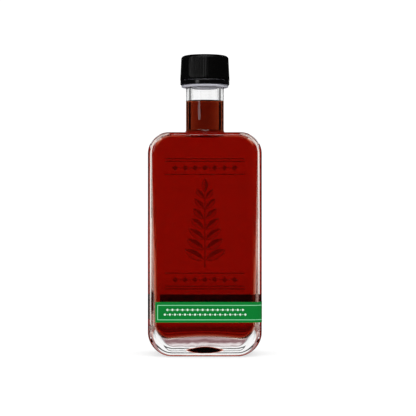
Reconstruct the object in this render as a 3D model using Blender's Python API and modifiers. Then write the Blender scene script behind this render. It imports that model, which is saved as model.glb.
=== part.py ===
"""Maple syrup in a flat glass flask, shut with a black screw cap, with a green paper strip round one side.

Metres, +Z up. The origin is the middle of the base. -Y is the back of the flask and +Y is its front.
"""

import math

import bmesh
import bpy

# Clear space between pieces that touch
GAP = 0.0003

# Flask body: a slab with round corners in the front view, and a fillet round its front and back faces
BODY_WIDTH = 0.0752
BODY_DEPTH = 0.048
BODY_HEIGHT = 0.1477
SHOULDER_CORNER = 0.014
BASE_CORNER = 0.016
FACE_FILLET = 0.0055

# Inside of the body, with thick glass under its floor
SIDE_WALL = 0.004
FACE_WALL = 0.0031
FLOOR = 0.0115
CEILING = 0.1457
CEILING_CORNER = 0.0115
FLOOR_CORNER = 0.0105
INNER_FILLET = 0.004

# The floor's raised middle and the hollow under the base: the top of an ellipsoid each
CROWN_SIZE = (0.0342, 0.0197, 0.006)
CROWN_RISE = 0.0012
PUNT_SIZE = (0.0234, 0.011, 0.012)
PUNT_RISE = 0.0056

# Neck, its bead, and the plain mouth inside the cap
NECK_RADIUS = 0.0127
BORE_RADIUS = 0.0091
HEEL_FILLET = 0.0025
BORE_FLARE = 0.003
BEAD_RADIUS = 0.01585
BEAD_FOOT = 0.1786
BEAD_TOP = 0.1799
BEAD_ROUND = 0.0008
MOUTH_RADIUS = 0.0143
LIP_ROUND = 0.0008

# Syrup
SYRUP_LEVEL = 0.1699

# Screw cap, a little narrower at its top, and the ring left under it when it is first opened
OVERALL_HEIGHT = 0.200
CAP_FOOT = 0.1835
CAP_FOOT_RADIUS = 0.0166
CAP_TOP_RADIUS = 0.0159
CAP_BEVEL_WIDTH = 0.0029
CAP_BEVEL_HEIGHT = 0.0021
CAP_BORE_RADIUS = 0.0149
CAP_TOP_WALL = 0.0015
BAND_RADIUS = 0.01645
BAND_TOP = 0.1832
BAND_ROUND = 0.0006

# Paper strip: along the back, round the +X side, and along the front, where it is taller
STRIP_FOOT = 0.0226
STRIP_BACK_TOP = 0.0363
STRIP_FRONT_TOP = 0.0392
STRIP_BACK_END = -0.0326
STRIP_FRONT_END = -0.0307
STRIP_THICKNESS = 0.0003

# Fineness of the round shapes
TURN_STEPS = 64
CORNER_STEPS = 8
FILLET_STEPS = 5
SPHERE_SEGMENTS = 48
SPHERE_RINGS = 24
RAMP_STEPS = 8

MOUTH_TOP = OVERALL_HEIGHT - CAP_TOP_WALL - GAP
BAND_FOOT = BEAD_TOP + GAP
NECK_ROOT = CEILING - 0.004


def clear_scene():
    for obj in list(bpy.data.objects):
        bpy.data.objects.remove(obj, do_unlink=True)


def new_collection(name):
    collection = bpy.data.collections.new(name)
    bpy.context.scene.collection.children.link(collection)
    return collection


def material(name, colour, roughness, transmission=0.0, ior=1.5):
    made = bpy.data.materials.new(name)
    made.use_nodes = True
    shader = made.node_tree.nodes["Principled BSDF"]
    shader.inputs["Base Color"].default_value = (*colour, 1.0)
    shader.inputs["Roughness"].default_value = roughness
    shader.inputs["Metallic"].default_value = 0.0
    shader.inputs["Transmission Weight"].default_value = transmission
    shader.inputs["IOR"].default_value = ior
    return made


def new_object(name, bm, collection, finish=None):
    """The bmesh as an object, shaded smooth except across sharp edges."""
    mesh = bpy.data.meshes.new(name)
    bm.to_mesh(mesh)
    bm.free()
    mesh.shade_smooth()
    mesh.set_sharp_from_angle(angle=math.radians(35))
    if finish:
        mesh.materials.append(finish)
    obj = bpy.data.objects.new(name, mesh)
    collection.objects.link(obj)
    return obj


def as_cutter(obj):
    obj.hide_render = True
    obj.display_type = "WIRE"
    return obj


def boolean(obj, other, operation):
    modifier = obj.modifiers.new(f"{operation.lower()}_{other.name}", "BOOLEAN")
    modifier.operation = operation
    modifier.solver = "EXACT"
    modifier.object = other


def arc(centre_r, centre_z, radius, start, end, steps):
    """Points (radius, height) of an arc in the profile plane. Angles are in degrees from +R towards +Z."""
    points = []
    for step in range(steps + 1):
        angle = math.radians(start + (end - start) * step / steps)
        points.append((centre_r + radius * math.cos(angle), centre_z + radius * math.sin(angle)))
    return points


def turned(name, profile, collection, finish=None, ring=False):
    """A profile of (radius, height) points, turned about Z. A ring's profile is closed."""
    bm = bmesh.new()
    verts = [bm.verts.new((radius, 0.0, height)) for radius, height in profile]
    for first, second in zip(verts, verts[1:]):
        bm.edges.new((first, second))
    if ring:
        bm.edges.new((verts[-1], verts[0]))
    obj = new_object(name, bm, collection, finish)
    screw = obj.modifiers.new("turn", "SCREW")
    screw.angle = math.tau
    screw.steps = TURN_STEPS
    screw.render_steps = TURN_STEPS
    screw.use_merge_vertices = True
    screw.merge_threshold = 0.00001
    screw.use_smooth_shade = True
    return obj


def rounded_slab(name, width, depth, foot, top, foot_corner, top_corner, fillet, collection, finish=None):
    """A box whose edges along Y are rounded first, and then the rims of its front and back faces."""
    bm = bmesh.new()
    bmesh.ops.create_cube(bm, size=1.0)
    bmesh.ops.scale(bm, vec=(width, depth, top - foot), verts=bm.verts)
    bmesh.ops.translate(bm, vec=(0.0, 0.0, (top + foot) / 2), verts=bm.verts)
    middle = (top + foot) / 2
    for upper, radius in ((False, foot_corner), (True, top_corner)):
        corners = [e for e in bm.edges if along_y(e) and (e.verts[0].co.z > middle) == upper]
        round_edges(bm, corners, radius, CORNER_STEPS)
    round_edges(bm, [e for e in bm.edges if not along_y(e)], fillet, FILLET_STEPS)
    return new_object(name, bm, collection, finish)


def along_y(edge):
    start, end = (v.co for v in edge.verts)
    return abs(start.y - end.y) > abs(start.x - end.x) + abs(start.z - end.z)


def round_edges(bm, edges, radius, steps):
    bmesh.ops.bevel(
        bm, geom=edges, offset=radius, offset_type="OFFSET", segments=steps, profile=0.5, affect="EDGES",
    )


def dome(name, size, foot, rise, collection):
    """An ellipsoid of these half sizes that stands out of the level foot by rise."""
    bm = bmesh.new()
    bmesh.ops.create_uvsphere(bm, u_segments=SPHERE_SEGMENTS, v_segments=SPHERE_RINGS, radius=1.0)
    bmesh.ops.scale(bm, vec=size, verts=bm.verts)
    bmesh.ops.translate(bm, vec=(0.0, 0.0, foot + rise - size[2]), verts=bm.verts)
    return as_cutter(new_object(name, bm, collection))


def inside_shape(name, inset, bore_top, collection, finish=None):
    """The space inside the glass, pulled in by inset and filled up to bore_top."""
    slab = rounded_slab(
        name,
        BODY_WIDTH - 2 * (SIDE_WALL + inset),
        BODY_DEPTH - 2 * (FACE_WALL + inset),
        FLOOR + inset,
        CEILING - inset,
        FLOOR_CORNER - inset,
        CEILING_CORNER - inset,
        INNER_FILLET - inset,
        collection,
        finish,
    )
    radius = BORE_RADIUS - inset
    flare = BORE_FLARE + inset
    # The flare stops short of a quarter turn, so that the rod crosses the ceiling at an angle
    profile = [(0.0, bore_top), (radius, bore_top)]
    profile += arc(radius + flare, CEILING - inset + flare, flare, 180, 250, 5)
    profile += [(profile[-1][0], NECK_ROOT), (0.0, NECK_ROOT)]
    boolean(slab, as_cutter(turned(f"{name}_bore", profile, cutters)), "UNION")
    crown = dome(f"{name}_crown", CROWN_SIZE, FLOOR + inset, CROWN_RISE, cutters)
    boolean(slab, crown, "DIFFERENCE")
    return slab


def build_glass():
    """The flask: the slab and the neck, hollowed, with the hollow under the base."""
    glass = rounded_slab(
        "glass_bottle", BODY_WIDTH, BODY_DEPTH, 0.0, BODY_HEIGHT,
        BASE_CORNER, SHOULDER_CORNER, FACE_FILLET, bottle,
        material("clear_glass", (0.95, 0.96, 0.96), 0.02, transmission=1.0, ior=1.52),
    )
    profile = [(0.0, MOUTH_TOP)]
    profile += arc(MOUTH_RADIUS - LIP_ROUND, MOUTH_TOP - LIP_ROUND, LIP_ROUND, 90, 0, 3)
    profile += [(MOUTH_RADIUS, BEAD_TOP)]
    profile += arc(BEAD_RADIUS - BEAD_ROUND, BEAD_TOP - BEAD_ROUND, BEAD_ROUND, 90, 0, 3)
    profile += arc(BEAD_RADIUS - BEAD_ROUND, BEAD_FOOT + BEAD_ROUND, BEAD_ROUND, 0, -90, 3)
    profile += [(NECK_RADIUS, BEAD_FOOT)]
    # The heel stops short of a quarter turn, so that the neck crosses the shoulder at an angle
    profile += arc(NECK_RADIUS + HEEL_FILLET, BODY_HEIGHT + HEEL_FILLET, HEEL_FILLET, 180, 252, 5)
    profile += [(profile[-1][0], NECK_ROOT), (0.0, NECK_ROOT)]
    boolean(glass, as_cutter(turned("neck_outside", profile, cutters)), "UNION")
    above_mouth = OVERALL_HEIGHT + 0.005
    boolean(glass, as_cutter(inside_shape("cavity", 0.0, above_mouth, cutters)), "DIFFERENCE")
    boolean(glass, dome("punt", PUNT_SIZE, 0.0, PUNT_RISE, cutters), "DIFFERENCE")


def build_syrup():
    inside_shape("syrup", GAP, SYRUP_LEVEL, bottle, material("maple_syrup", (0.16, 0.004, 0.0), 0.1))


def build_cap():
    """The screw cap: a bevelled top, a side that widens downwards, and the bore that takes the mouth."""
    steps = 5
    bevel = []
    for step in range(steps + 1):
        angle = math.radians(90 - 90 * step / steps)
        bevel.append((
            CAP_TOP_RADIUS - CAP_BEVEL_WIDTH * (1 - math.cos(angle)),
            OVERALL_HEIGHT - CAP_BEVEL_HEIGHT * (1 - math.sin(angle)),
        ))
    inner_top = OVERALL_HEIGHT - CAP_TOP_WALL
    profile = [(0.0, OVERALL_HEIGHT)] + bevel
    profile += [(CAP_FOOT_RADIUS, CAP_FOOT), (CAP_BORE_RADIUS, CAP_FOOT)]
    profile += [(CAP_BORE_RADIUS, inner_top), (0.0, inner_top)]
    turned("cap", profile, bottle, material("black_cap", (0.006, 0.006, 0.007), 0.45))


def build_band():
    """The ring between the cap and the bead."""
    profile = arc(BAND_RADIUS - BAND_ROUND, BAND_TOP - BAND_ROUND, BAND_ROUND, 90, 0, 3)
    profile += arc(BAND_RADIUS - BAND_ROUND, BAND_FOOT + BAND_ROUND, BAND_ROUND, 0, -90, 3)
    profile += [(CAP_BORE_RADIUS, BAND_FOOT), (CAP_BORE_RADIUS, BAND_TOP)]
    turned("tamper_band", profile, bottle, material("black_band", (0.006, 0.006, 0.007), 0.2), ring=True)


def strip_route():
    """Plan points of the strip's inner face, from its end on the back to its end on the front.

    Each has its share of the way from the back height to the front height.
    """
    half_width = BODY_WIDTH / 2 + GAP
    half_depth = BODY_DEPTH / 2 + GAP
    fillet = FACE_FILLET + GAP
    side_y = half_depth - fillet
    route = [(STRIP_BACK_END, -half_depth, 0.0)]
    route += [(x, y, 0.0) for x, y in arc(half_width - fillet, -side_y, fillet, -90, 0, FILLET_STEPS)]
    for step in range(1, RAMP_STEPS):
        along = step / RAMP_STEPS
        share = (1 - math.cos(math.pi * along)) / 2
        route.append((half_width, side_y * (2 * along - 1), share))
    route += [(x, y, 1.0) for x, y in arc(half_width - fillet, side_y, fillet, 0, 90, FILLET_STEPS)]
    route.append((STRIP_FRONT_END, half_depth, 1.0))
    return route


def build_strip():
    """The paper strip, pasted on the outside of the glass."""
    bm = bmesh.new()
    columns = []
    for x, y, share in strip_route():
        top = STRIP_BACK_TOP + share * (STRIP_FRONT_TOP - STRIP_BACK_TOP)
        columns.append((bm.verts.new((x, y, STRIP_FOOT)), bm.verts.new((x, y, top))))
    for (foot, top), (next_foot, next_top) in zip(columns, columns[1:]):
        bm.faces.new((foot, next_foot, next_top, top))
    strip = new_object("label_band", bm, bottle, material("green_paper", (0.007, 0.195, 0.032), 0.6))
    solidify = strip.modifiers.new("paper", "SOLIDIFY")
    solidify.thickness = STRIP_THICKNESS
    solidify.offset = 1.0
    solidify.use_even_offset = True


clear_scene()
bottle = new_collection("maple_syrup_bottle")
cutters = new_collection("cutters")
build_glass()
build_syrup()
build_cap()
build_band()
build_strip()
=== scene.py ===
"""Looks of the maple syrup bottle: clear glass, dark syrup, a ribbed black cap and a green paper strip.

Metres, +Z up. -Y is the back of the bottle, which the camera looks at, and +Y is its printed front.
"""

import math
import bmesh
import bpy
from mathutils import Matrix, Vector


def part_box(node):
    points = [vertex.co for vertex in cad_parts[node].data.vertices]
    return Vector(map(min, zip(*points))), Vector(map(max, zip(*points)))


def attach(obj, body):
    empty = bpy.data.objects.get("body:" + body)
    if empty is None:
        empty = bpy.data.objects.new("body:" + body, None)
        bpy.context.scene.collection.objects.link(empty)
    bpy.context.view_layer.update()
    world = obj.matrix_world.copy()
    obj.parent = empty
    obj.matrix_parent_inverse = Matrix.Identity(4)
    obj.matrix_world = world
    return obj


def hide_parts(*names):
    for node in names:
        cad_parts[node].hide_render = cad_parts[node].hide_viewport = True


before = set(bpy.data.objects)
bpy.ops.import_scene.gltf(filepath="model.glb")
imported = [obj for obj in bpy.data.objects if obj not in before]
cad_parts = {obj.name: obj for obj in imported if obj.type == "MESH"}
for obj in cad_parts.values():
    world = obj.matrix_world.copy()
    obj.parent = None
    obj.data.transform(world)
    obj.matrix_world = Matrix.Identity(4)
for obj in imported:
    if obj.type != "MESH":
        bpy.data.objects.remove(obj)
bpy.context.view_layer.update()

# Camera
CAMERA_PLACE = (0.0021, -1.0214, 0.0978)
CAMERA_LENS = 131.5
SENSOR_WIDTH = 36.0

# Flask's outside, read from its solid where that says it
GLASS_LOW, GLASS_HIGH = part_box("glass_bottle")
BODY_WIDTH = GLASS_HIGH[0] - GLASS_LOW[0]
BODY_DEPTH = GLASS_HIGH[1] - GLASS_LOW[1]
MOUTH_TOP = GLASS_HIGH[2]
BODY_HEIGHT = 0.1477
SHOULDER_CORNER = 0.014
BASE_CORNER = 0.016

# Its walls and the inside of its body. At the foot the side walls are thicker by the taper
SIDE_WALL = 0.0038
WALL_TAPER = 0.0009
FACE_WALL = 0.0031
INNER_FLOOR = 0.0104
INNER_FLOOR_CORNER = 0.0105
CEILING = 0.1457
CEILING_CORNER = 0.0115

# Fillets round the front and back faces at the foot, at the sides and at the top, outside and inside
OUTER_FILLETS = (0.0046, 0.0056, 0.0026)
INNER_FILLETS = (0.008, 0.0037, 0.0022)

# How much wider the outer fillet is at the middle of the foot's corners
CORNER_SWELL = 0.0015

# The inner floor arches up along X, over this half width, and the arch fades out this far above the floor
ARCH_RISE = 0.0018
ARCH_HALF = 0.027
ARCH_REACH = 0.012

# The inner floor's raised middle and the hollow under the base: half sizes, height, and powers along X and Y
CROWN_HALF = (0.0205, 0.0118)
CROWN_RISE = 0.0006
CROWN_POWERS = (2.0, 2.0)
PUNT_HALF = (0.0205, 0.0125)
PUNT_RISE = 0.0056
PUNT_POWERS = (1.0, 1.8)

# Neck, bead and mouth
NECK_RADIUS = 0.0127
BORE_RADIUS = 0.0091
HEEL_FILLET = 0.0025
BORE_FLARE = 0.003
BEAD_RADIUS = 0.01585
BEAD_FOOT = 0.1786
BEAD_TOP = 0.1799
BEAD_ROUND = 0.0008
BEAD_CHAMFER = 0.0004
MOUTH_RADIUS = 0.0143
LIP_ROUND = 0.0008

# How far past a wall a face may lie and still be counted to it
WALL_SLACK = 0.0005

# Syrup. Its skin lies this deep in the glass, so that no air gap shows
SKIN = 0.0001

# Its surface climbs the wall. The climb falls off with the reach, and is drawn out to a span of reaches,
# in rows that crowd towards the wall
MENISCUS_RISE = 0.0008
MENISCUS_REACH = 0.0011
MENISCUS_SPAN = 5
MENISCUS_CROWDING = 1.5
SYRUP_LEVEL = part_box("syrup")[1][2] - MENISCUS_RISE

# The film on the surface: how thick it is, how far it goes into the wall, and the least upward part of
# a normal on its upper side
FILM = 0.0002
FILM_SKIN = FILM / 10
FILM_UPWARD = 0.1

# Cap and the ring under it
CAP_LOW, CAP_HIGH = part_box("cap")
CAP_FOOT_RADIUS = CAP_HIGH[0]
CAP_TOP_RADIUS = 0.0159
CAP_BEVEL_WIDTH = 0.0029
CAP_BEVEL_HEIGHT = 0.0021
CAP_BORE_RADIUS = 0.0149
CAP_TOP_WALL = 0.0015
RIB_COUNT = 96
RIB_DEPTH = 0.00016
RIB_TOP = 0.0150
RIB_FOOT = 0.0012
BAND_LOW, BAND_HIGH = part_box("tamper_band")
BAND_ROUND = 0.0006

# Paper strip. Its top is lower on the back than on the front
STRIP_LOW, STRIP_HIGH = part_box("label_band")
STRIP_BACK_TOP = 0.0361
STRIP_BACK_END = STRIP_LOW[0]
STRIP_FRONT_END = -0.0307
PAPER_LIFT = 0.00002
PAPER_THICKNESS = 0.00012

# Its print: a frame line, set in from each edge, and rows of small diamonds with dots between them
INK_THICKNESS = 0.00002
INK_GAP = 0.00001
STRIP_INK_LIFT = PAPER_LIFT + PAPER_THICKNESS + INK_GAP
FRAME_END = 0.0014
FRAME_FOOT = 0.0016
FRAME_TOP = 0.0020
FRAME_LINE = 0.00042
STRIP_ROWS = (0.0278, 0.0309)
STRIP_ROW_START = -0.0262
STRIP_DIAMOND_PITCH = 0.0033
STRIP_DIAMOND_COUNT = 17
STRIP_DIAMOND_HALF = 0.0009
STRIP_DOT_RADIUS = 0.00028

# Print on the front face: rules and rows of diamonds above and below a leafy branch
INK_LIFT = 0.00002
RULE_LINE = 0.0007
RULE_HALF = 0.027
DIAMOND_PITCH = 0.0067
DIAMOND_HALF = (0.0022, 0.0019)
DIAMONDS_EACH_SIDE = 3
DOT_RADIUS = 0.0006
TOP_RULES = (0.1312, 0.1294, 0.1206)
FOOT_RULES = (0.0536, 0.0448, 0.0430)

# The branch: its stalk, and pairs of leaves whose length and lean go from the lowest pair's to the highest's
BRANCH_FOOT = 0.0575
BRANCH_TOP = 0.1080
STALK_LINE = 0.0007
STALK_GAP = 0.0002
LEAF_PAIRS = 7
LEAF_START = 0.10
LEAF_SPREAD = 0.82
LEAF_OFFSET = 0.0006
LEAF_LENGTH = (0.0150, 0.0085)
LEAF_LEAN = (28.0, 52.0)
TOP_LEAF_LENGTH = LEAF_LENGTH[1] * 1.2
LEAF_SLIMNESS = 0.21
LEAF_LINE = 0.00045

# A leaf's veins. Start, pitch and shift are shares of its length, and the gap at a tip is counted in lines
VEIN_COUNT = 4
VEIN_START = 0.18
VEIN_PITCH = 0.15
VEIN_SHIFT = 0.09
VEIN_TIP_GAP = 1.6
VEIN_SLANT = 0.75
VEIN_LINE = LEAF_LINE * 0.75

# Fineness
TURN_STEPS = 128
RIB_STEPS = 6
CORNER_STEPS = 36
FILLET_STEPS = 20
ARCH_STEPS = 24
DOME_ROWS = 16
HEEL_STEPS = 10
EDGE_STEPS = 6
MENISCUS_ROWS = 14
CAP_BEVEL_STEPS = 8
CAP_SIDE_ROWS = 12
RAMP_STEPS = 16
LEAF_STEPS = 28
DOT_STEPS = 16
SMALL_DOT_STEPS = 10
FLOOR_STEPS = 64

# Points closer than the first are merged, and lengths under the second count as none
MERGE_DISTANCE = 1e-7
TINY = 1e-6

# Refraction: glass against air, and glass against syrup
GLASS_IOR = 1.52
SYRUP_IOR = 1.456

# Waves in the glass: how fine they are, how deep, and the heights between which they grow towards the foot
WAVE_SCALE = 130.0
WAVE_DETAIL = 1.5
WAVE_DEPTH = 0.000025
NECK_WAVE_DEPTH = 0.000004
FOOT_WAVE_DEPTH = 0.0002
FOOT_WAVE_TOP = 0.015
FOOT_WAVE_FOOT = 0.003

# What a metre of the syrup takes away is (1 - clarity) * density, in each of red, green and blue.
# The neck's syrup is denser than the body's as painted shade: the thin round neck gets less light from behind,
# so it looks nearly as dark as the wide body
BODY_CLARITY = (0.8125, 0.25, 0.0, 1.0)
BODY_DENSITY = 200.0
NECK_SHADED_CLARITY = (0.6575, 0.2425, 0.0, 1.0)
NECK_SHADED_DENSITY = 400.0

# Colours in linear light. A pair is mixed by the finish's grain
WHITE = (1.0, 1.0, 1.0, 1.0)
CAP_BLACK = ((0.0004, 0.0004, 0.0004), (0.0011, 0.0010, 0.0010))
RING_BLACK = ((0.0008, 0.0008, 0.0009), (0.0014, 0.0014, 0.0015))
BEAD_CLOUD = (0.86, 0.86, 0.96)
BEAD_CLEARNESS = 0.5
PAPER_GREEN = ((0.0006, 0.138, 0.0200), (0.0014, 0.166, 0.0250))
PAPER_BACK = ((0.94, 0.82, 0.70), (1.0, 0.90, 0.78))
STRIP_INK = ((0.56, 0.72, 0.60), (0.64, 0.78, 0.68))
LINE_INK = ((0.20, 0.56, 0.32), (0.25, 0.62, 0.36))
FRONT_INK = ((0.80, 0.76, 0.66), (0.88, 0.85, 0.76))
FRONT_INK_COVER = 0.40

# The grain's noise, and the stretch of it over which roughness goes from its low to its high
GRAIN_DETAIL = 4.0
GRAIN_ROUGHNESS = 0.6
GRAIN_STRETCH = (0.3, 0.7)
PAPER_GRAIN = 1400.0

# Dark gaps in the light that comes through the glass, in degrees: upright ones at this angle on both sides
# of every quarter turn, and a level one at this height over the horizon
GAP_ANGLE = 37.5
GAP_HALF = 5.0
LEVEL_GAP = 8.5
LEVEL_GAP_HALF = 2.0
GAP_EDGE = 1.0
GAP_LIGHT = 0.04

# How bright the surround is for the eye, and where the glass mirrors it
BACKDROP_LIGHT = 1.1
MIRRORED_LIGHT = 0.012

# The floor. It lies just under the bottle, and its own glow evens out what the softboxes leave on it
FLOOR_RADIUS = 8.0
FLOOR_DROP = 0.0002
FLOOR_SHADE = (0.4, 0.4, 0.4, 1.0)
FLOOR_GLOW = 0.62

# Painted shade and light on the floor, shown only through the glass: how bright the floor is at these
# distances from the bottle's middle, a painted shadow of the bottle near it with painted brighter rings
FLOOR_PAINTED_SHADE_AND_LIGHT = (
    (0.0, 0.55), (0.045, 0.45), (0.072, 0.35), (0.084, 0.88), (0.093, 0.76),
    (0.103, 0.36), (0.113, 0.23), (0.120, 0.25), (0.137, 0.50), (0.148, 0.34),
    (0.17, 0.30), (0.22, 0.56), (0.26, 0.82), (0.5, 0.76), (1.3, 1.0),
)

# A painted red tint in that painted shade near the bottle, standing in for light that the syrup throws on the
# floor: the darker it is there, the redder
PAINTED_TINT_REACH = 0.16
PAINTED_TINT_POWERS = (1.0, 1.45, 1.4)
NO_TINT = (1.0, 1.0, 1.0)

# How often light may pass through a surface, and be mirrored
GLASS_BOUNCES = 32
MIRROR_BOUNCES = 12


def add_camera():
    data = bpy.data.cameras.new("camera")
    data.lens = CAMERA_LENS
    data.sensor_width = SENSOR_WIDTH
    camera = bpy.data.objects.new("camera", data)
    camera.location = CAMERA_PLACE
    camera.rotation_euler = (math.pi / 2, 0.0, 0.0)
    bpy.context.scene.collection.objects.link(camera)
    bpy.context.scene.camera = camera


def arc(centre_r, centre_z, radius, start, end, steps):
    """Points (radius, height) of an arc in the profile plane. Angles are in degrees from +R towards +Z."""
    points = []
    for step in range(steps + 1):
        angle = math.radians(start + (end - start) * step / steps)
        points.append((centre_r + radius * math.cos(angle), centre_z + radius * math.sin(angle)))
    return points


def add_to(bm, part):
    """Adds one bmesh to another."""
    mesh = bpy.data.meshes.new("part")
    part.to_mesh(mesh)
    part.free()
    bm.from_mesh(mesh)
    bpy.data.meshes.remove(mesh)


def turned(profile, steps, closed=False):
    """A profile of (radius, height) points, turned about Z."""
    bm = bmesh.new()
    verts = [bm.verts.new((radius, 0.0, height)) for radius, height in profile]
    edges = [bm.edges.new(pair) for pair in zip(verts, verts[1:])]
    if closed:
        edges.append(bm.edges.new((verts[-1], verts[0])))
    bmesh.ops.spin(
        bm, geom=verts + edges, cent=(0, 0, 0), axis=(0, 0, 1), dvec=(0, 0, 0),
        angle=math.tau, steps=steps, use_merge=True, use_duplicate=False,
    )
    bmesh.ops.remove_doubles(bm, verts=bm.verts, dist=MERGE_DISTANCE)
    return bm


def face_outline(half_foot, half_top, foot, top, foot_corner, top_corner):
    """Points (x, z) round a face with round corners, each with its outward direction."""
    corners = (
        (half_foot - foot_corner, foot + foot_corner, foot_corner, -90),
        (half_top - top_corner, top - top_corner, top_corner, 0),
        (top_corner - half_top, top - top_corner, top_corner, 90),
        (foot_corner - half_foot, foot + foot_corner, foot_corner, 180),
    )
    outline = []
    for centre_x, centre_z, radius, start in corners:
        for x, z in arc(centre_x, centre_z, radius, start, start + 90, CORNER_STEPS):
            outline.append((x, z, (x - centre_x) / radius, (z - centre_z) / radius))
    return outline


def rounded_slab(outline, depth, fillets, corner_swell=0.0):
    """A slab of this outline. The fillet round its faces goes from the foot's to the sides' to the top's."""
    at_foot, at_sides, at_top = fillets
    rows = 2 * FILLET_STEPS + 1
    bm = bmesh.new()
    bmesh.ops.create_grid(bm, x_segments=len(outline), y_segments=rows, size=1.0)
    for vert in bm.verts:
        column = round((vert.co.x + 1) / 2 * len(outline)) % len(outline)
        row = round((vert.co.y + 1) / 2 * rows)
        x, z, out_x, out_z = outline[column]
        ends = at_foot if out_z < 0 else at_top
        fillet = at_sides * out_x * out_x + ends * out_z * out_z
        if out_z < 0:
            fillet += corner_swell * (2 * out_x * out_z) ** 2
        front = row > FILLET_STEPS
        step = rows - row if front else row
        angle = math.pi / 2 * step / FILLET_STEPS
        inset = fillet * (1 - math.sin(angle))
        y = depth / 2 - fillet * (1 - math.cos(angle))
        vert.co = (x - out_x * inset, y if front else -y, z - out_z * inset)
    bmesh.ops.remove_doubles(bm, verts=bm.verts, dist=MERGE_DISTANCE)
    for y in (-depth / 2, depth / 2):
        rim = [e for e in bm.edges if e.is_boundary and all(abs(v.co.y - y) < TINY for v in e.verts)]
        bmesh.ops.contextual_create(bm, geom=rim)
    return bm


def open_level(bm, height):
    """Takes out the flat face at this height."""
    flat = [f for f in bm.faces if all(abs(v.co.z - height) < TINY for v in f.verts)]
    bmesh.ops.delete(bm, geom=flat, context="FACES_ONLY")


def fill_level(bm, height):
    """Fills the flat ring between the two open rims that lie at this height."""
    rims = [e for e in bm.edges if e.is_boundary and all(abs(v.co.z - height) < TINY for v in e.verts)]
    bmesh.ops.triangle_fill(bm, edges=rims, use_beauty=True, use_dissolve=False, normal=(0.0, 0.0, 1.0))


def dome(half, foot, rise, powers):
    """A low dome on an oval rim. The higher its power along X or along Y, the more it draws in there."""
    profile = [(1 - row / DOME_ROWS, foot) for row in range(DOME_ROWS + 1)]
    bm = turned(profile, TURN_STEPS)
    for vert in bm.verts:
        reach = math.hypot(vert.co.x, vert.co.y)
        along = vert.co.x / reach if reach > TINY else 0.0
        power = powers[0] * along * along + powers[1] * (1 - along * along)
        vert.co.z += rise * max(1 - reach * reach, 0.0) ** power
    bmesh.ops.scale(bm, vec=(*half, 1.0), verts=bm.verts)
    return bm


def arch_floor(bm, straight):
    """Lifts the middle of the inner floor, which is straight this far on both sides, into its arch."""
    for step in range(1, ARCH_STEPS):
        place = (straight * (2 * step / ARCH_STEPS - 1), 0.0, 0.0)
        low = [f for f in bm.faces if all(v.co.z < INNER_FLOOR + INNER_FLOOR_CORNER for v in f.verts)]
        edges = list(dict.fromkeys(e for f in low for e in f.edges))
        bmesh.ops.bisect_plane(bm, geom=low + edges, dist=TINY, plane_co=place, plane_no=(1, 0, 0))
    for vert in bm.verts:
        near_floor = max(1 - (vert.co.z - INNER_FLOOR) / ARCH_REACH, 0.0)
        near_middle = max(1 - (vert.co.x / ARCH_HALF) ** 2, 0.0)
        vert.co.z += ARCH_RISE * near_floor * near_middle


def inner_body(skin):
    """The inside of the body, pushed out into the glass by skin, and open at the ceiling."""
    half = BODY_WIDTH / 2 - SIDE_WALL + skin
    floor = INNER_FLOOR - skin
    ceiling = CEILING + skin
    corners = (INNER_FLOOR_CORNER + skin, CEILING_CORNER + skin)
    outline = face_outline(half - WALL_TAPER, half, floor, ceiling, *corners)
    fillets = [fillet + skin for fillet in INNER_FILLETS]
    bm = rounded_slab(outline, BODY_DEPTH - 2 * (FACE_WALL - skin), fillets)
    open_level(bm, ceiling)
    open_level(bm, floor)
    add_to(bm, dome(CROWN_HALF, floor, CROWN_RISE, CROWN_POWERS))
    fill_level(bm, floor)
    arch_floor(bm, half - WALL_TAPER - INNER_FLOOR_CORNER)
    return bm


def finish_piece(name, bm, materials, nodes=(), keep_flat=True):
    """The bmesh as a piece on the bottle, with smooth normals that leave flat faces flat."""
    mesh = bpy.data.meshes.new(name)
    bm.to_mesh(mesh)
    bm.free()
    mesh.shade_smooth()
    for finish in materials:
        mesh.materials.append(finish)
    piece = bpy.data.objects.new(name, mesh)
    bpy.context.scene.collection.objects.link(piece)
    if keep_flat:
        normals = piece.modifiers.new("flat_faces", "WEIGHTED_NORMAL")
        normals.mode = "FACE_AREA"
        normals.weight = 50
        normals.keep_sharp = True
    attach(piece, "root")
    if nodes:
        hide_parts(*nodes)
    return piece


def new_material(name):
    material = bpy.data.materials.new(name)
    material.use_nodes = True
    return material, material.node_tree.nodes, material.node_tree.links


def clear_glass(name, ior, roughness=0.0, waves=0.0, foot_waves=0.0):
    """Clear glass. waves is how deep the slow waves of its wall are, and foot_waves those near the foot."""
    material, nodes, links = new_material(name)
    shader = nodes["Principled BSDF"]
    shader.inputs["Base Color"].default_value = WHITE
    shader.inputs["Roughness"].default_value = roughness
    shader.inputs["IOR"].default_value = ior
    shader.inputs["Transmission Weight"].default_value = 1.0
    if waves or foot_waves:
        place = nodes.new("ShaderNodeTexCoord")
        noise = nodes.new("ShaderNodeTexNoise")
        noise.inputs["Scale"].default_value = WAVE_SCALE
        noise.inputs["Detail"].default_value = WAVE_DETAIL
        height = nodes.new("ShaderNodeSeparateXYZ")
        depth = nodes.new("ShaderNodeMapRange")
        depth.interpolation_type = "SMOOTHSTEP"
        depth.inputs["From Min"].default_value = FOOT_WAVE_TOP
        depth.inputs["From Max"].default_value = FOOT_WAVE_FOOT
        depth.inputs["To Min"].default_value = waves
        depth.inputs["To Max"].default_value = foot_waves
        bump = nodes.new("ShaderNodeBump")
        bump.inputs["Strength"].default_value = 1.0
        links.new(place.outputs["Object"], noise.inputs["Vector"])
        links.new(place.outputs["Object"], height.inputs["Vector"])
        links.new(height.outputs["Z"], depth.inputs["Value"])
        links.new(depth.outputs["Result"], bump.inputs["Distance"])
        links.new(noise.outputs["Fac"], bump.inputs["Height"])
        links.new(bump.outputs["Normal"], shader.inputs["Normal"])
    return material


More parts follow.
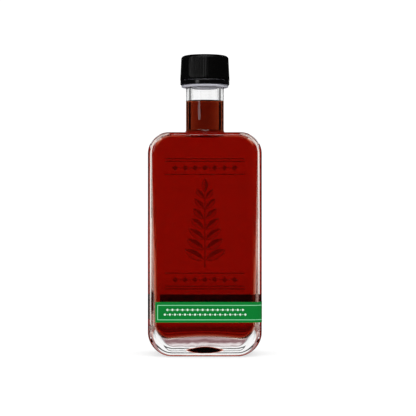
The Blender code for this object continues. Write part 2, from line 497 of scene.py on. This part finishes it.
def milky_glass():
    """The bead's glass, which its mould leaves cloudy."""
    material = clear_glass("bead_glass", GLASS_IOR, roughness=0.4, waves=WAVE_DEPTH)
    shader = material.node_tree.nodes["Principled BSDF"]
    shader.inputs["Base Color"].default_value = (*BEAD_CLOUD, 1.0)
    shader.inputs["Transmission Weight"].default_value = BEAD_CLEARNESS
    return material


def syrup_material(name, clarity, density):
    """Clear dark syrup, whose skin bends no light, as the wall round it already does that."""
    material, nodes, links = new_material(name)
    shader = nodes["Principled BSDF"]
    shader.inputs["Base Color"].default_value = WHITE
    shader.inputs["Roughness"].default_value = 0.0
    shader.inputs["IOR"].default_value = 1.0
    shader.inputs["Transmission Weight"].default_value = 1.0
    volume = nodes.new("ShaderNodeVolumeAbsorption")
    volume.inputs["Color"].default_value = clarity
    volume.inputs["Density"].default_value = density
    links.new(volume.outputs["Volume"], nodes["Material Output"].inputs["Volume"])
    return material


def grained(name, colours, grain, roughness, relief, shine=0.5):
    """A solid finish: two close colours mixed by a noise of this grain, uneven roughness, and low relief."""
    material, nodes, links = new_material(name)
    shader = nodes["Principled BSDF"]
    shader.inputs["Specular IOR Level"].default_value = shine
    place = nodes.new("ShaderNodeTexCoord")
    noise = nodes.new("ShaderNodeTexNoise")
    noise.inputs["Scale"].default_value = grain
    noise.inputs["Detail"].default_value = GRAIN_DETAIL
    noise.inputs["Roughness"].default_value = GRAIN_ROUGHNESS
    mix = nodes.new("ShaderNodeMix")
    mix.data_type = "RGBA"
    mix.inputs["A"].default_value = (*colours[0], 1.0)
    mix.inputs["B"].default_value = (*colours[1], 1.0)
    spread = nodes.new("ShaderNodeMapRange")
    spread.inputs["From Min"].default_value = GRAIN_STRETCH[0]
    spread.inputs["From Max"].default_value = GRAIN_STRETCH[1]
    spread.inputs["To Min"].default_value = roughness[0]
    spread.inputs["To Max"].default_value = roughness[1]
    bump = nodes.new("ShaderNodeBump")
    bump.inputs["Strength"].default_value = 1.0
    bump.inputs["Distance"].default_value = relief
    links.new(place.outputs["Object"], noise.inputs["Vector"])
    links.new(noise.outputs["Fac"], mix.inputs["Factor"])
    links.new(noise.outputs["Fac"], spread.inputs["Value"])
    links.new(noise.outputs["Fac"], bump.inputs["Height"])
    links.new(mix.outputs["Result"], shader.inputs["Base Color"])
    links.new(spread.outputs["Result"], shader.inputs["Roughness"])
    links.new(bump.outputs["Normal"], shader.inputs["Normal"])
    return material


def neck_profile(contact):
    """Profile points from the neck's heel, over the mouth and down the bore, with one at the syrup's edge."""
    profile = arc(NECK_RADIUS + HEEL_FILLET, BODY_HEIGHT + HEEL_FILLET, HEEL_FILLET, 270, 180, HEEL_STEPS)
    profile += [(NECK_RADIUS, BEAD_FOOT - BEAD_CHAMFER), (NECK_RADIUS + BEAD_CHAMFER, BEAD_FOOT)]
    profile += arc(BEAD_RADIUS - BEAD_ROUND, BEAD_FOOT + BEAD_ROUND, BEAD_ROUND, -90, 0, EDGE_STEPS)
    profile += arc(BEAD_RADIUS - BEAD_ROUND, BEAD_TOP - BEAD_ROUND, BEAD_ROUND, 0, 90, EDGE_STEPS)
    profile += [(MOUTH_RADIUS, BEAD_TOP)]
    profile += arc(MOUTH_RADIUS - LIP_ROUND, MOUTH_TOP - LIP_ROUND, LIP_ROUND, 0, 90, EDGE_STEPS)
    profile += arc(BORE_RADIUS + LIP_ROUND, MOUTH_TOP - LIP_ROUND, LIP_ROUND, 90, 180, EDGE_STEPS)
    profile += [(BORE_RADIUS, contact)]
    profile += arc(BORE_RADIUS + BORE_FLARE, CEILING + BORE_FLARE, BORE_FLARE, 180, 270, HEEL_STEPS)
    return profile


def inside_wall(point):
    """True for a point on the glass's inner wall, and also on the outside of the body's round corners."""
    if point.z > CEILING + WALL_SLACK:
        return math.hypot(point.x, point.y) < (BORE_RADIUS + NECK_RADIUS) / 2
    in_width = abs(point.x) < (BODY_WIDTH - SIDE_WALL) / 2
    in_depth = abs(point.y) < (BODY_DEPTH - FACE_WALL) / 2
    return in_width and in_depth and point.z > INNER_FLOOR - 2 * WALL_SLACK


def build_flask():
    """The glass: the body outside, the neck, the mouth, the bore and the body inside, as one closed skin."""
    half = BODY_WIDTH / 2
    outline = face_outline(half, half, 0.0, BODY_HEIGHT, BASE_CORNER, SHOULDER_CORNER)
    bm = rounded_slab(outline, BODY_DEPTH, OUTER_FILLETS, CORNER_SWELL)
    open_level(bm, BODY_HEIGHT)
    open_level(bm, 0.0)
    add_to(bm, dome(PUNT_HALF, 0.0, PUNT_RISE, PUNT_POWERS))
    fill_level(bm, 0.0)

    contact = SYRUP_LEVEL + MENISCUS_RISE
    add_to(bm, turned(neck_profile(contact), TURN_STEPS))
    fill_level(bm, BODY_HEIGHT)
    add_to(bm, inner_body(0.0))
    fill_level(bm, CEILING)
    bmesh.ops.remove_doubles(bm, verts=bm.verts, dist=MERGE_DISTANCE)
    bmesh.ops.recalc_face_normals(bm, faces=bm.faces)

    # The bead and the mouth, then the wall against the syrup, then the neck. What is left is plain clear glass
    for face in bm.faces:
        middle = face.calc_center_median()
        past_neck = math.hypot(middle.x, middle.y) > NECK_RADIUS + BEAD_CHAMFER / 2
        if past_neck and middle.z > BEAD_FOOT - BEAD_CHAMFER:
            face.material_index = 2
        elif inside_wall(middle) and middle.z < contact:
            face.material_index = 1
        elif middle.z > BODY_HEIGHT + HEEL_FILLET:
            face.material_index = 3
    finishes = [
        clear_glass("clear_glass", GLASS_IOR, waves=WAVE_DEPTH, foot_waves=FOOT_WAVE_DEPTH),
        clear_glass("glass_against_syrup", GLASS_IOR / SYRUP_IOR),
        milky_glass(),
        clear_glass("neck_glass", GLASS_IOR, waves=NECK_WAVE_DEPTH, foot_waves=NECK_WAVE_DEPTH),
    ]
    finish_piece("flask_glass", bm, finishes, ["glass_bottle"])


def meniscus(radius, drop):
    """Profile points of the syrup's free surface, from the wall to the middle, lowered by drop."""
    points = []
    for row in range(MENISCUS_ROWS):
        inwards = MENISCUS_SPAN * MENISCUS_REACH * (row / MENISCUS_ROWS) ** MENISCUS_CROWDING
        height = SYRUP_LEVEL + MENISCUS_RISE * math.exp(-inwards / MENISCUS_REACH)
        points.append((radius - inwards, height - drop))
    return points + [(0.0, SYRUP_LEVEL - drop)]


def build_syrup():
    """The syrup in the body and in the neck, with their skins just inside the glass."""
    bm = inner_body(SKIN)
    fill_level(bm, CEILING + SKIN)
    bmesh.ops.recalc_face_normals(bm, faces=bm.faces)
    body = syrup_material("syrup_in_body", BODY_CLARITY, BODY_DENSITY)
    finish_piece("syrup_fill", bm, [body], ["syrup"])

    # The flare starts past its lowest point, so that the neck's syrup is just clear of the body's
    flare = arc(BORE_RADIUS + BORE_FLARE, CEILING + BORE_FLARE, BORE_FLARE - SKIN, 265, 180, HEEL_STEPS)
    profile = [(0.0, flare[0][1])] + flare + meniscus(BORE_RADIUS + SKIN, FILM / 2)
    bm = turned(profile, TURN_STEPS)
    bmesh.ops.recalc_face_normals(bm, faces=bm.faces)
    # Denser syrup in the neck: painted shade for the light that the thin neck lets through less from behind
    neck = syrup_material("syrup_in_neck", NECK_SHADED_CLARITY, NECK_SHADED_DENSITY)
    finish_piece("syrup_neck", bm, [neck], ["syrup"])


def build_surface():
    """The syrup's free surface: a film that bends light on its upper side alone."""
    radius = BORE_RADIUS + FILM_SKIN
    bm = turned(meniscus(radius, 0.0)[::-1] + meniscus(radius, FILM), TURN_STEPS)
    bmesh.ops.recalc_face_normals(bm, faces=bm.faces)
    for face in bm.faces:
        face.material_index = int(face.normal.z < FILM_UPWARD)
    finishes = [clear_glass("syrup_surface", SYRUP_IOR), clear_glass("syrup_in_syrup", 1.0)]
    finish_piece("syrup_surface", bm, finishes, keep_flat=False)


def cap_profile():
    """Profile points of the cap: its top, its bevel, its side down to the foot, and its hollow."""
    foot, top = CAP_LOW[2], CAP_HIGH[2]
    profile = [(0.0, top)]
    for step in range(CAP_BEVEL_STEPS + 1):
        angle = math.radians(90 - 90 * step / CAP_BEVEL_STEPS)
        radius = CAP_TOP_RADIUS - CAP_BEVEL_WIDTH * (1 - math.cos(angle))
        profile.append((radius, top - CAP_BEVEL_HEIGHT * (1 - math.sin(angle))))
    side_top = profile[-1][1]
    for row in range(1, CAP_SIDE_ROWS + 1):
        share = row / CAP_SIDE_ROWS
        radius = CAP_TOP_RADIUS * (1 - share) + CAP_FOOT_RADIUS * share
        profile.append((radius, side_top * (1 - share) + foot * share))
    inner_top = top - CAP_TOP_WALL
    return profile + [(CAP_BORE_RADIUS, foot), (CAP_BORE_RADIUS, inner_top), (0.0, inner_top)]


def build_cap():
    """The screw cap, with fine upright ribs on its side."""
    bm = turned(cap_profile(), RIB_COUNT * RIB_STEPS)
    for vert in bm.verts:
        radius, height = math.hypot(vert.co.x, vert.co.y), vert.co.z - CAP_LOW[2]
        if radius > (CAP_TOP_RADIUS + CAP_BORE_RADIUS) / 2 and RIB_FOOT < height < RIB_TOP:
            wave = (1 + math.cos(RIB_COUNT * math.atan2(vert.co.y, vert.co.x))) / 2
            shrunk = (radius - RIB_DEPTH * wave) / radius
            vert.co.x *= shrunk
            vert.co.y *= shrunk
    bmesh.ops.recalc_face_normals(bm, faces=bm.faces)
    roughness = (0.17, 0.22)
    plastic = grained("cap_plastic", CAP_BLACK, grain=1500.0, roughness=roughness, relief=0.000005, shine=0.4)
    finish_piece("ribbed_cap", bm, [plastic], ["cap"])


def build_band():
    """The glossy ring between the cap and the bead."""
    outer = BAND_HIGH[0]
    profile = arc(outer - BAND_ROUND, BAND_HIGH[2] - BAND_ROUND, BAND_ROUND, 90, 0, EDGE_STEPS)
    profile += arc(outer - BAND_ROUND, BAND_LOW[2] + BAND_ROUND, BAND_ROUND, 0, -90, EDGE_STEPS)
    profile += [(CAP_BORE_RADIUS, BAND_LOW[2]), (CAP_BORE_RADIUS, BAND_HIGH[2])]
    bm = turned(profile, TURN_STEPS, closed=True)
    bmesh.ops.recalc_face_normals(bm, faces=bm.faces)
    plastic = grained("ring_plastic", RING_BLACK, grain=500.0, roughness=(0.10, 0.16), relief=0.000003)
    finish_piece("cap_ring", bm, [plastic], ["tamper_band"])


def strip_route(lift, ends=0.0):
    """Plan points on the lifted outside of the glass, from the strip's end on the back to that on the front.

    Each has its share of the way from the back height to the front height. ends moves both ends inwards.
    """
    half_width = BODY_WIDTH / 2 + lift
    half_depth = BODY_DEPTH / 2 + lift
    fillet = OUTER_FILLETS[1] + lift
    side_y = half_depth - fillet
    route = [(STRIP_BACK_END + ends, -half_depth, 0.0)]
    if ends:
        route.append((STRIP_BACK_END + ends + FRAME_LINE, -half_depth, 0.0))
    route += [(x, y, 0.0) for x, y in arc(half_width - fillet, -side_y, fillet, -90, 0, FILLET_STEPS)]
    for step in range(1, RAMP_STEPS):
        along = step / RAMP_STEPS
        share = (1 - math.cos(math.pi * along)) / 2
        route.append((half_width, side_y * (2 * along - 1), share))
    route += [(x, y, 1.0) for x, y in arc(half_width - fillet, side_y, fillet, 0, 90, FILLET_STEPS)]
    if ends:
        route.append((STRIP_FRONT_END + ends + FRAME_LINE, half_depth, 1.0))
    route.append((STRIP_FRONT_END + ends, half_depth, 1.0))
    return route


def strip_sheet(route, heights):
    """A sheet that stands on this route. heights(top) gives its rows' heights under a strip's top."""
    rows = len(heights(0.0)) - 1
    columns = len(route) - 1
    bm = bmesh.new()
    bmesh.ops.create_grid(bm, x_segments=columns, y_segments=rows, size=1.0)
    for vert in bm.verts:
        x, y, share = route[round((vert.co.x + 1) / 2 * columns)]
        top = STRIP_BACK_TOP + share * (STRIP_HIGH[2] - STRIP_BACK_TOP)
        vert.co = (x, y, heights(top)[round((vert.co.y + 1) / 2 * rows)])
    return bm


def thicken(piece, thickness):
    """Gives a sheet its thickness, outwards, ahead of the modifier that evens its normals."""
    solidify = piece.modifiers.new("thickness", "SOLIDIFY")
    solidify.thickness = thickness
    solidify.offset = 1.0
    piece.modifiers.move(len(piece.modifiers) - 1, 0)


def build_strip():
    """The green paper strip, whose inner face is bare paper."""
    bm = strip_sheet(strip_route(PAPER_LIFT), lambda top: (STRIP_LOW[2], top))
    papers = [
        grained("strip_green", PAPER_GREEN, PAPER_GRAIN, roughness=(0.55, 0.7), relief=0.000006, shine=0.05),
        grained("strip_back", PAPER_BACK, PAPER_GRAIN, roughness=(0.6, 0.8), relief=0.000006, shine=0.1),
    ]
    strip = finish_piece("paper_strip", bm, papers, ["label_band"])
    thicken(strip, PAPER_THICKNESS)
    strip.modifiers["thickness"].material_offset = 1


def strip_ink(name, colours):
    """Ink on the paper strip."""
    return grained(name, colours, PAPER_GRAIN, roughness=(0.55, 0.7), relief=0.000003, shine=0.1)


def build_frame_line():
    """The thin line all round the strip, just inside its edges."""
    foot = STRIP_LOW[2] + FRAME_FOOT
    bm = strip_sheet(
        strip_route(STRIP_INK_LIFT, FRAME_END),
        lambda top: (foot, foot + FRAME_LINE, top - FRAME_TOP - FRAME_LINE, top - FRAME_TOP),
    )
    last_end = max(STRIP_BACK_END, STRIP_FRONT_END) + FRAME_END
    inside = []
    for face in bm.faces:
        heights = [v.co.z for v in face.verts]
        tall = max(heights) - min(heights) > 2 * FRAME_LINE
        if tall and face.calc_center_median().x > last_end + FRAME_LINE:
            inside.append(face)
    bmesh.ops.delete(bm, geom=inside, context="FACES")
    ink = strip_ink("strip_line_ink", LINE_INK)
    line = finish_piece("strip_frame_line", bm, [ink])
    thicken(line, INK_THICKNESS)


def face_print(bm, lift, front):
    """Moves shapes drawn in X and Y, as a reader sees them, on to the front or the back face."""
    turn = math.pi if front else 0.0
    across = Matrix.Rotation(turn, 4, "Z")
    depth = BODY_DEPTH / 2 + lift
    upright = Matrix.Translation((0.0, -depth, 0.0)) @ Matrix.Rotation(math.pi / 2, 4, "X")
    bmesh.ops.transform(bm, matrix=across @ upright, verts=bm.verts)


def add_flat(bm, corners, half, place, pointed=False):
    """Adds a flat round shape of this many corners. A pointed one narrows to a tip at both ends."""
    made = bmesh.ops.create_circle(bm, cap_ends=True, segments=corners, radius=1.0)["verts"]
    if pointed:
        for vert in made:
            vert.co.y *= abs(vert.co.y)
    shape = Matrix.Diagonal((half[0], half[1], 1.0, 1.0))
    bmesh.ops.transform(bm, matrix=Matrix.Translation((*place, 0.0)) @ shape, verts=made)


def build_strip_diamonds():
    """Rows of small diamonds on the strip's back part, with dots between them."""
    bm = bmesh.new()
    for row, height in enumerate(STRIP_ROWS):
        for step in range(2 * (STRIP_DIAMOND_COUNT - row) - 1):
            place = (STRIP_ROW_START + (step + row) * STRIP_DIAMOND_PITCH / 2, height)
            if step % 2 == 0:
                add_flat(bm, 4, (STRIP_DIAMOND_HALF, STRIP_DIAMOND_HALF), place)
            else:
                add_flat(bm, SMALL_DOT_STEPS, (STRIP_DOT_RADIUS, STRIP_DOT_RADIUS), place)
    face_print(bm, STRIP_INK_LIFT, front=False)
    ink = strip_ink("strip_pale_ink", STRIP_INK)
    diamonds = finish_piece("strip_diamonds", bm, [ink], keep_flat=False)
    thicken(diamonds, INK_THICKNESS)


def add_line(bm, start, end, width):
    """Adds a thin straight line."""
    made = bmesh.ops.create_grid(bm, x_segments=1, y_segments=1, size=0.5)["verts"]
    along = Vector(end) - Vector(start)
    middle = (Vector(start) + Vector(end)) / 2
    shape = Matrix.Diagonal((along.length, width, 1.0, 1.0))
    turn = Matrix.Rotation(math.atan2(along.y, along.x), 4, "Z")
    bmesh.ops.transform(bm, matrix=Matrix.Translation((*middle, 0.0)) @ turn @ shape, verts=made)


def add_leaf(bm, stalk, lean, length, dark_side):
    """Adds a leaf: its outline, its middle rib, one half filled, and veins in the other half."""
    leaf = bmesh.new()
    half = (length / 2, length * LEAF_SLIMNESS)
    add_flat(leaf, LEAF_STEPS, half, (half[0], 0.0), pointed=True)
    bmesh.ops.inset_individual(leaf, faces=leaf.faces[:], thickness=LEAF_LINE, use_even_offset=True)
    inner = [f for f in leaf.faces if len(f.verts) > 4]
    edges = [e for f in inner for e in f.edges]
    bmesh.ops.bisect_plane(leaf, geom=inner + edges, plane_co=(0, 0, 0), plane_no=(0, dark_side, 0))
    light = [f for f in leaf.faces if len(f.verts) > 4 and dark_side * f.calc_center_median().y < 0]
    bmesh.ops.delete(leaf, geom=light, context="FACES")
    for vein in range(VEIN_COUNT):
        root = length * (VEIN_START + VEIN_PITCH * vein)
        across = 2 * (root + VEIN_SHIFT * length) / length - 1
        reach = half[1] * (1 - across ** 2) - VEIN_TIP_GAP * LEAF_LINE
        start = (root + LEAF_LINE, -dark_side * LEAF_LINE / 2)
        add_line(leaf, start, (root + VEIN_SLANT * reach, -dark_side * reach), VEIN_LINE)
    turn = Matrix.Translation((*stalk, 0.0)) @ Matrix.Rotation(math.radians(lean), 4, "Z")
    bmesh.ops.transform(leaf, matrix=turn, verts=leaf.verts)
    add_to(bm, leaf)


def add_rules(bm, rules, diamonds):
    """Adds level lines, and a row of diamonds, with dots between them, at the height given."""
    for height in rules:
        add_line(bm, (-RULE_HALF, height), (RULE_HALF, height), RULE_LINE)
    for step in range(-DIAMONDS_EACH_SIDE, DIAMONDS_EACH_SIDE + 1):
        place = (step * DIAMOND_PITCH, diamonds)
        add_flat(bm, 4, DIAMOND_HALF, place)
        if step < DIAMONDS_EACH_SIDE:
            add_flat(bm, DOT_STEPS, (DOT_RADIUS, DOT_RADIUS), (place[0] + DIAMOND_PITCH / 2, diamonds))


def front_ink():
    """Pale screen print, thin enough for the syrup to show through."""
    material = grained("front_ink", FRONT_INK, grain=900.0, roughness=(0.45, 0.6), relief=0.000003, shine=0.3)
    material.node_tree.nodes["Principled BSDF"].inputs["Alpha"].default_value = FRONT_INK_COVER
    return material


def build_front_print():
    """The print on the front face."""
    bm = bmesh.new()
    add_rules(bm, TOP_RULES, (TOP_RULES[1] + TOP_RULES[2]) / 2)
    add_rules(bm, FOOT_RULES, (FOOT_RULES[0] + FOOT_RULES[1]) / 2)
    add_line(bm, (0.0, BRANCH_FOOT), (0.0, BRANCH_TOP - STALK_GAP), STALK_LINE)
    add_leaf(bm, (0.0, BRANCH_TOP), 90.0, TOP_LEAF_LENGTH, 1)
    for pair in range(LEAF_PAIRS):
        share = pair / (LEAF_PAIRS - 1)
        height = BRANCH_FOOT + (LEAF_START + LEAF_SPREAD * share) * (BRANCH_TOP - BRANCH_FOOT)
        length = LEAF_LENGTH[0] + share * (LEAF_LENGTH[1] - LEAF_LENGTH[0])
        lean = LEAF_LEAN[0] + share * (LEAF_LEAN[1] - LEAF_LEAN[0])
        add_leaf(bm, (LEAF_OFFSET, height), lean, length, 1)
        add_leaf(bm, (-LEAF_OFFSET, height), 180.0 - lean, length, -1)
    face_print(bm, INK_LIFT, front=True)
    sheet = finish_piece("front_print", bm, [front_ink()], keep_flat=False)
    thicken(sheet, INK_THICKNESS)


def worked_out(tree, operation, first, second=0.0):
    """A socket with the result of this operation on two sockets or numbers."""
    node = tree.nodes.new("ShaderNodeMath")
    node.operation = operation
    for socket, value in zip(node.inputs, (first, second)):
        if isinstance(value, bpy.types.NodeSocket):
            tree.links.new(value, socket)
        else:
            socket.default_value = value
    return node.outputs["Value"]


def chosen(tree, share, first, second):
    """A socket with the first shader where share is 0, and the second where it is 1."""
    mix = tree.nodes.new("ShaderNodeMixShader")
    tree.links.new(share, mix.inputs["Fac"])
    tree.links.new(first, mix.inputs[1])
    tree.links.new(second, mix.inputs[2])
    return mix.outputs["Shader"]


def floor_material():
    """A pale floor for the eye. Through the glass it shows a painted shadow with painted brighter rings
    instead, by the distance from the bottle.
    """
    material, nodes, links = new_material("pale_floor")
    tree = material.node_tree
    shader = nodes["Principled BSDF"]
    shader.inputs["Base Color"].default_value = FLOOR_SHADE
    shader.inputs["Roughness"].default_value = 1.0
    shader.inputs["Specular IOR Level"].default_value = 0.0
    shader.inputs["Emission Color"].default_value = WHITE
    shader.inputs["Emission Strength"].default_value = FLOOR_GLOW
    place = nodes.new("ShaderNodeTexCoord")
    distance = nodes.new("ShaderNodeVectorMath")
    distance.operation = "LENGTH"
    links.new(place.outputs["Object"], distance.inputs[0])
    reach = FLOOR_PAINTED_SHADE_AND_LIGHT[-1][0]
    ramp = nodes.new("ShaderNodeValToRGB")
    while len(ramp.color_ramp.elements) < len(FLOOR_PAINTED_SHADE_AND_LIGHT):
        ramp.color_ramp.elements.new(0.5)
    for stop, (radius, light) in zip(ramp.color_ramp.elements, FLOOR_PAINTED_SHADE_AND_LIGHT):
        stop.position = radius / reach
        powers = PAINTED_TINT_POWERS if radius < PAINTED_TINT_REACH else NO_TINT
        stop.color = (*(light ** power for power in powers), 1.0)
    # Painted shadow, painted light rings and a painted red tint, seen only by rays that come through the glass
    glow = nodes.new("ShaderNodeEmission")
    path = nodes.new("ShaderNodeLightPath")
    links.new(worked_out(tree, "DIVIDE", distance.outputs["Value"], reach), ramp.inputs["Fac"])
    links.new(ramp.outputs["Color"], glow.inputs["Color"])
    through = path.outputs["Is Transmission Ray"]
    shown = chosen(tree, through, shader.outputs["BSDF"], glow.outputs["Emission"])
    links.new(shown, nodes["Material Output"].inputs["Surface"])
    return material


def build_floor():
    """The floor, which shows in nothing that mirrors it."""
    bm = bmesh.new()
    bmesh.ops.create_circle(bm, cap_ends=True, segments=FLOOR_STEPS, radius=FLOOR_RADIUS)
    mesh = bpy.data.meshes.new("floor")
    bm.to_mesh(mesh)
    bm.free()
    mesh.materials.append(floor_material())
    floor = bpy.data.objects.new("floor", mesh)
    floor.location.z = -FLOOR_DROP
    floor.visible_glossy = False
    bpy.context.scene.collection.objects.link(floor)


def dark_gap(tree, distance, half):
    """A socket that is GAP_LIGHT within half of a gap's middle, and 1 past its soft edge."""
    step = tree.nodes.new("ShaderNodeMapRange")
    step.inputs["From Min"].default_value = half
    step.inputs["From Max"].default_value = half + GAP_EDGE
    step.inputs["To Min"].default_value = GAP_LIGHT
    step.inputs["To Max"].default_value = 1.0
    tree.links.new(distance, step.inputs["Value"])
    return step.outputs["Result"]


def upright_gaps(tree, parts):
    """A socket that is 1, or GAP_LIGHT where a direction, given in its parts, lies in an upright gap."""
    angle = worked_out(tree, "ARCTAN2", parts.outputs["Y"], parts.outputs["X"])
    in_quarter = worked_out(tree, "FLOORED_MODULO", worked_out(tree, "DEGREES", angle), 90.0)
    from_middle = worked_out(tree, "ABSOLUTE", worked_out(tree, "SUBTRACT", in_quarter, 45.0))
    from_gap = worked_out(tree, "SUBTRACT", from_middle, 45.0 - GAP_ANGLE)
    return dark_gap(tree, worked_out(tree, "ABSOLUTE", from_gap), GAP_HALF)


def level_gap(tree, parts):
    """A socket that is 1, or GAP_LIGHT where a direction, given in its parts, lies in the level gap."""
    height = worked_out(tree, "DEGREES", worked_out(tree, "ARCSINE", parts.outputs["Z"]))
    from_gap = worked_out(tree, "SUBTRACT", height, LEVEL_GAP)
    return dark_gap(tree, worked_out(tree, "ABSOLUTE", from_gap), LEVEL_GAP_HALF)


def even_light(tree, strength):
    """A white background shader of this strength."""
    shade = tree.nodes.new("ShaderNodeBackground")
    shade.inputs["Color"].default_value = WHITE
    shade.inputs["Strength"].default_value = strength
    return shade


def build_world():
    """White all round for the eye, dark gaps through the glass, and nearly dark where glass mirrors it."""
    world = bpy.data.worlds.new("studio")
    bpy.context.scene.world = world
    world.use_nodes = True
    tree = world.node_tree
    tree.nodes.remove(tree.nodes["Background"])

    place = tree.nodes.new("ShaderNodeTexCoord")
    parts = tree.nodes.new("ShaderNodeSeparateXYZ")
    tree.links.new(place.outputs["Generated"], parts.inputs["Vector"])
    gaps = worked_out(tree, "MULTIPLY", level_gap(tree, parts), upright_gaps(tree, parts))
    through = even_light(tree, 1.0)
    tree.links.new(gaps, through.inputs["Strength"])

    path = tree.nodes.new("ShaderNodeLightPath")
    passed = path.outputs["Is Transmission Ray"]
    mirrored = worked_out(tree, "MULTIPLY", path.outputs["Is Glossy Ray"], path.outputs["Is Reflection Ray"])
    seen = chosen(tree, passed, even_light(tree, BACKDROP_LIGHT).outputs[0], through.outputs[0])
    shown = chosen(tree, mirrored, seen, even_light(tree, MIRRORED_LIGHT).outputs[0])
    tree.links.new(shown, tree.nodes["World Output"].inputs["Surface"])


def build_lamp(name, place, target, size, power):
    """A softbox that faces the target and shows only in what mirrors it."""
    data = bpy.data.lights.new(name, "AREA")
    data.shape = "RECTANGLE"
    data.size, data.size_y = size
    data.energy = power
    lamp = bpy.data.objects.new(name, data)
    lamp.location = place
    lamp.rotation_euler = (Vector(target) - Vector(place)).to_track_quat("-Z", "Y").to_euler()
    lamp.visible_camera = False
    lamp.visible_transmission = False
    bpy.context.scene.collection.objects.link(lamp)


def build_lamps():
    """One softbox on the left, for the streak on the neck and the cap, and one above the camera."""
    build_lamp("left_softbox", (-0.85, -1.2, 0.62), target=(0.0, 0.0, 0.62), size=(0.4, 0.77), power=1.76)
    build_lamp("front_softbox", (0.05, -1.25, 1.25), target=(0.0, 0.0, 0.15), size=(1.2, 0.7), power=8.0)


def set_rendering():
    """Plain colours, and enough bounces for the glass and the syrup."""
    scene = bpy.context.scene
    scene.view_settings.view_transform = "Standard"
    scene.cycles.max_bounces = GLASS_BOUNCES
    scene.cycles.transmission_bounces = GLASS_BOUNCES
    scene.cycles.transparent_max_bounces = GLASS_BOUNCES
    scene.cycles.glossy_bounces = MIRROR_BOUNCES


add_camera()
build_flask()
build_syrup()
build_surface()
build_cap()
build_band()
build_strip()
build_frame_line()
build_strip_diamonds()
build_front_print()
build_floor()
build_world()
build_lamps()
set_rendering()
